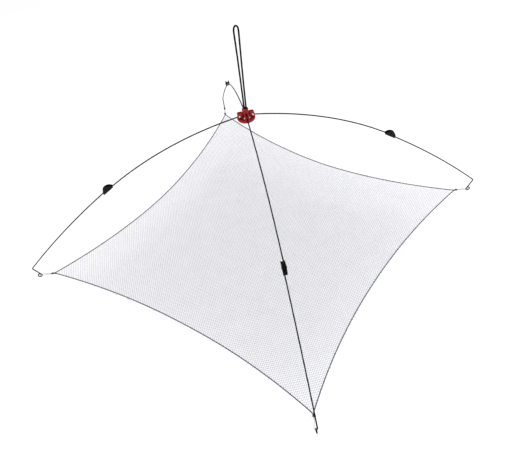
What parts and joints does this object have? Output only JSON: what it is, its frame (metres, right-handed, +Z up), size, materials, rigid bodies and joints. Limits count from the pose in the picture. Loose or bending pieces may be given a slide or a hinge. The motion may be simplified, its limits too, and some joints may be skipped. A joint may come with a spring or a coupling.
{
  "type": "folding crab trap",
  "caption": "Folding square lift net for crabs: bowed spring-steel arms hinge on a moulded hub, fold up at half-moon joints and spread a fine-mesh net under a haul loop.",
  "frame": {"origin": "where the haul line bears, inside the top of the cord loop that the trap hangs from", "axes": "+Z up along the hub's axis; the arms point along -Y (front), +X (right), +Y (back) and -X (left)"},
  "size_m": [1.2072, 1.2072, 0.6225],
  "materials": {
    "hub_plastic": "moulded nylon, satin",
    "haul_cord": "braided cord",
    "rivet": "bright",
    "rod_steel": "black coated spring steel",
    "joint_plastic": "moulded nylon, matt",
    "joint_pin": "blackened rivet",
    "tie_twine": "thin twine",
    "netting": "knotted nylon mesh",
    "border_cord": "laced cord"
  },
  "bodies": {
    "root": {"hub_body": "hub_plastic", "loop_cord": "haul_cord", "loop_knot": "haul_cord", "hub_pin_front": "rivet", "hub_pin_right": "rivet", "hub_pin_back": "rivet", "hub_pin_left": "rivet"},
    "inner_arm_front": {"inner_rod_front": "rod_steel", "joint_housing_front": "joint_plastic", "fold_pin_front": "joint_pin"},
    "inner_arm_right": {"inner_rod_right": "rod_steel", "joint_housing_right": "joint_plastic", "fold_pin_right": "joint_pin"},
    "inner_arm_back": {"inner_rod_back": "rod_steel", "joint_housing_back": "joint_plastic", "fold_pin_back": "joint_pin"},
    "inner_arm_left": {"inner_rod_left": "rod_steel", "joint_housing_left": "joint_plastic", "fold_pin_left": "joint_pin"},
    "outer_arm_front": {"outer_rod_front": "rod_steel"},
    "outer_arm_right": {"outer_rod_right": "rod_steel"},
    "outer_arm_back": {"outer_rod_back": "rod_steel"},
    "outer_arm_left": {"outer_rod_left": "rod_steel"},
    "tie_front": {"corner_tie_front": "tie_twine"},
    "tie_right": {"corner_tie_right": "tie_twine"},
    "tie_back": {"corner_tie_back": "tie_twine"},
    "tie_left": {"corner_tie_left": "tie_twine"},
    "net_centre": {"net_middle": "netting"},
    "net_front": {"net_quarter_front": "netting", "border_cord_front": "border_cord"},
    "net_right": {"net_quarter_right": "netting", "border_cord_right": "border_cord"},
    "net_back": {"net_quarter_back": "netting", "border_cord_back": "border_cord"},
    "net_left": {"net_quarter_left": "netting", "border_cord_left": "border_cord"}
  },
  "joints": [
    {"name": "arm_fold_front", "type": "hinge", "parent": "root", "child": "inner_arm_front", "pos_m": [0, -0.015, -0.21614], "axis": [-1, 0, 0], "range_deg": [0, 100]},
    {"name": "arm_fold_right", "type": "hinge", "parent": "root", "child": "inner_arm_right", "pos_m": [0.015, 0, -0.21614], "axis": [0, -1, 0], "range_deg": [0, 100]},
    {"name": "arm_fold_back", "type": "hinge", "parent": "root", "child": "inner_arm_back", "pos_m": [0, 0.015, -0.21614], "axis": [1, 0, 0], "range_deg": [0, 100]},
    {"name": "arm_fold_left", "type": "hinge", "parent": "root", "child": "inner_arm_left", "pos_m": [-0.015, 0, -0.21614], "axis": [0, 1, 0], "range_deg": [0, 100]},
    {"name": "rod_fold_front", "type": "hinge", "parent": "inner_arm_front", "child": "outer_arm_front", "pos_m": [0, -0.35283, -0.35366], "axis": [-1, 0, 0], "range_deg": [0, 205]},
    {"name": "rod_fold_right", "type": "hinge", "parent": "inner_arm_right", "child": "outer_arm_right", "pos_m": [0.35283, 0, -0.35366], "axis": [0, -1, 0], "range_deg": [0, 205.5]},
    {"name": "rod_fold_back", "type": "hinge", "parent": "inner_arm_back", "child": "outer_arm_back", "pos_m": [0, 0.35283, -0.35366], "axis": [1, 0, 0], "range_deg": [0, 205.5]},
    {"name": "rod_fold_left", "type": "hinge", "parent": "inner_arm_left", "child": "outer_arm_left", "pos_m": [-0.35283, 0, -0.35366], "axis": [0, 1, 0], "range_deg": [0, 205.5]},
    {"name": "tie_swing_front", "type": "hinge", "parent": "outer_arm_front", "child": "tie_front", "pos_m": [-0.0035, -0.5921, -0.59979], "axis": [1, 0, 0], "range_deg": [0, 161.27], "deforming": ["corner_tie_front"]},
    {"name": "tie_swing_right", "type": "hinge", "parent": "outer_arm_right", "child": "tie_right", "pos_m": [0.5921, -0.0035, -0.59979], "axis": [0, 1, 0], "range_deg": [0, 161.27], "deforming": ["corner_tie_right"]},
    {"name": "tie_swing_back", "type": "hinge", "parent": "outer_arm_back", "child": "tie_back", "pos_m": [0.0035, 0.5921, -0.59979], "axis": [-1, 0, 0], "range_deg": [0, 161.27], "deforming": ["corner_tie_back"]},
    {"name": "tie_swing_left", "type": "hinge", "parent": "outer_arm_left", "child": "tie_left", "pos_m": [-0.5921, 0.0035, -0.59979], "axis": [0, -1, 0], "range_deg": [0, 161.27], "deforming": ["corner_tie_left"]},
    {"name": "net_drop", "type": "slide", "parent": "root", "child": "net_centre", "axis": [0, 0, -1], "range_m": [0, 0.1899]},
    {"name": "net_gather_front", "type": "hinge", "parent": "net_centre", "child": "net_front", "pos_m": [0, 0, -0.61739], "axis": [-1, 0, 0], "range_deg": [0, 84.28], "deforming": ["net_quarter_front", "border_cord_front"]},
    {"name": "net_gather_right", "type": "hinge", "parent": "net_centre", "child": "net_right", "pos_m": [0, 0, -0.61739], "axis": [0, -1, 0], "range_deg": [0, 84.28], "deforming": ["net_quarter_right", "border_cord_right"]},
    {"name": "net_gather_back", "type": "hinge", "parent": "net_centre", "child": "net_back", "pos_m": [0, 0, -0.61739], "axis": [1, 0, 0], "range_deg": [0, 84.28], "deforming": ["net_quarter_back", "border_cord_back"]},
    {"name": "net_gather_left", "type": "hinge", "parent": "net_centre", "child": "net_left", "pos_m": [0, 0, -0.61739], "axis": [0, 1, 0], "range_deg": [0, 84.28], "deforming": ["net_quarter_left", "border_cord_left"]}
  ],
  "couplings": [
    {"joint": "arm_fold_front", "follows": "rod_fold_front", "ratio": 0.21951},
    {"joint": "arm_fold_right", "follows": "rod_fold_front", "ratio": 0.21951},
    {"joint": "arm_fold_back", "follows": "rod_fold_front", "ratio": 0.21951},
    {"joint": "arm_fold_left", "follows": "rod_fold_front", "ratio": 0.21951},
    {"joint": "rod_fold_right", "follows": "rod_fold_front", "ratio": 1},
    {"joint": "rod_fold_back", "follows": "rod_fold_front", "ratio": 1},
    {"joint": "rod_fold_left", "follows": "rod_fold_front", "ratio": 1},
    {"joint": "tie_swing_front", "follows": "rod_fold_front", "ratio": 0.78425},
    {"joint": "tie_swing_right", "follows": "rod_fold_front", "ratio": 0.78425},
    {"joint": "tie_swing_back", "follows": "rod_fold_front", "ratio": 0.78425},
    {"joint": "tie_swing_left", "follows": "rod_fold_front", "ratio": 0.78425},
    {"joint": "net_drop", "follows": "rod_fold_front", "m_per_rad": 0.052796},
    {"joint": "net_gather_front", "follows": "rod_fold_front", "ratio": 0.41103},
    {"joint": "net_gather_right", "follows": "rod_fold_front", "ratio": 0.41103},
    {"joint": "net_gather_back", "follows": "rod_fold_front", "ratio": 0.41103},
    {"joint": "net_gather_left", "follows": "rod_fold_front", "ratio": 0.41103}
  ]
}
